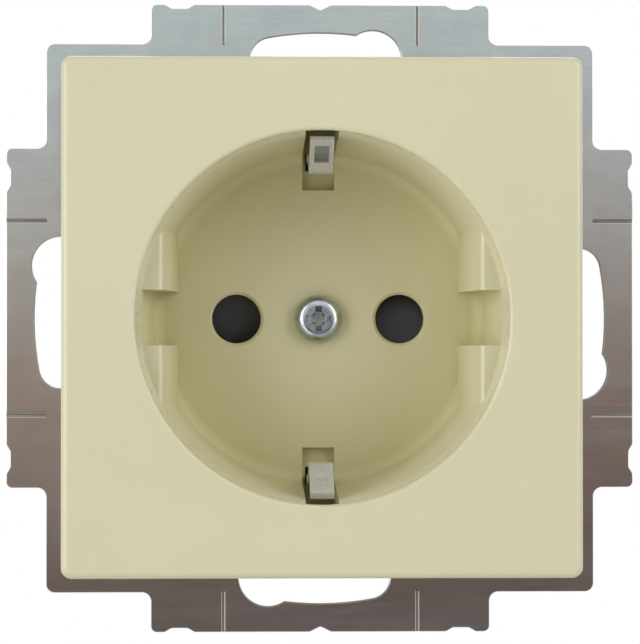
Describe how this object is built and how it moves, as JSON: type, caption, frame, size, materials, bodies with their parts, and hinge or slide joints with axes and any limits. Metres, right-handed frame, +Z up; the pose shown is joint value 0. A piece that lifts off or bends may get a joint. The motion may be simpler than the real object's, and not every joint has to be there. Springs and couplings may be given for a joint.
{
  "type": "type f wall socket",
  "caption": "Recessed wall socket insert with an ivory cover plate, side earth clips, a steel mounting ring and spreading claws.",
  "frame": {"origin": "centre of the mounting ring on the wall plane, which its back lies on", "axes": "-Y out of the wall towards the user, +Z up, +X right as seen from the front"},
  "size_m": [0.071, 0.0413, 0.071],
  "materials": {
    "cover_ivory": "satin ivory moulding",
    "zinc_screw": "zinc plated",
    "ring_steel": "zinc plated sheet",
    "body_grey": "matt moulding",
    "rear_grey": "matt moulding",
    "shutter_black": "matt black moulding",
    "spring_steel": "bright spring steel",
    "earth_strip": "tinned strip",
    "contact_brass": "bright brass sheet",
    "claw_steel": "zinc plated sheet",
    "rivet_steel": "plain steel"
  },
  "bodies": {
    "root": {"cover_plate": "cover_ivory", "cover_screw": "zinc_screw", "mounting_ring": "ring_steel", "base_body": "body_grey", "rear_cover": "rear_grey", "earth_bracket": "earth_strip", "clamp_spring_earth": "spring_steel", "clamp_spring_live": "spring_steel", "clamp_spring_neutral": "spring_steel", "contact_live": "contact_brass", "contact_neutral": "contact_brass", "contact_spring_live": "spring_steel", "contact_spring_neutral": "spring_steel", "claw_pin_left": "zinc_screw", "claw_pin_right": "zinc_screw", "rear_cover_screw_left": "zinc_screw", "rear_cover_screw_right": "zinc_screw", "ring_rivet_top_left": "rivet_steel", "ring_rivet_top_right": "rivet_steel", "ring_rivet_bottom_left": "rivet_steel", "ring_rivet_bottom_right": "rivet_steel"},
    "shutter": {"shutter": "shutter_black", "shutter_spring": "spring_steel"},
    "claw_left": {"claw_left": "claw_steel"},
    "claw_right": {"claw_right": "claw_steel"},
    "claw_screw_left": {"claw_screw_left": "zinc_screw"},
    "claw_screw_right": {"claw_screw_right": "zinc_screw"}
  },
  "joints": [
    {"name": "shutter_turn", "type": "hinge", "parent": "root", "child": "shutter", "pos_m": [0, 0.0108, 0], "axis": [0, 1, 0], "range_deg": [0, 38], "stiffness_Nm_per_rad": 0.004, "springref_deg": -20.05},
    {"name": "claw_screw_left_turn", "type": "hinge", "parent": "root", "child": "claw_screw_left", "pos_m": [-0.02442, 0, 0], "axis": [0, 1, 0], "range_deg": [0, 2525]},
    {"name": "claw_screw_right_turn", "type": "hinge", "parent": "root", "child": "claw_screw_right", "pos_m": [0.02442, 0, 0], "axis": [0, 1, 0], "range_deg": [0, 2525]},
    {"name": "claw_left_swing", "type": "hinge", "parent": "root", "child": "claw_left", "pos_m": [-0.01805, 0.0125, 0], "axis": [0, 0, 1], "range_deg": [0, 32]},
    {"name": "claw_right_swing", "type": "hinge", "parent": "root", "child": "claw_right", "pos_m": [0.01805, 0.0125, 0], "axis": [0, 0, -1], "range_deg": [0, 32]}
  ],
  "couplings": [
    {"joint": "claw_screw_left_turn", "follows": "claw_left_swing", "ratio": 78.75},
    {"joint": "claw_screw_right_turn", "follows": "claw_right_swing", "ratio": 78.75}
  ]
}
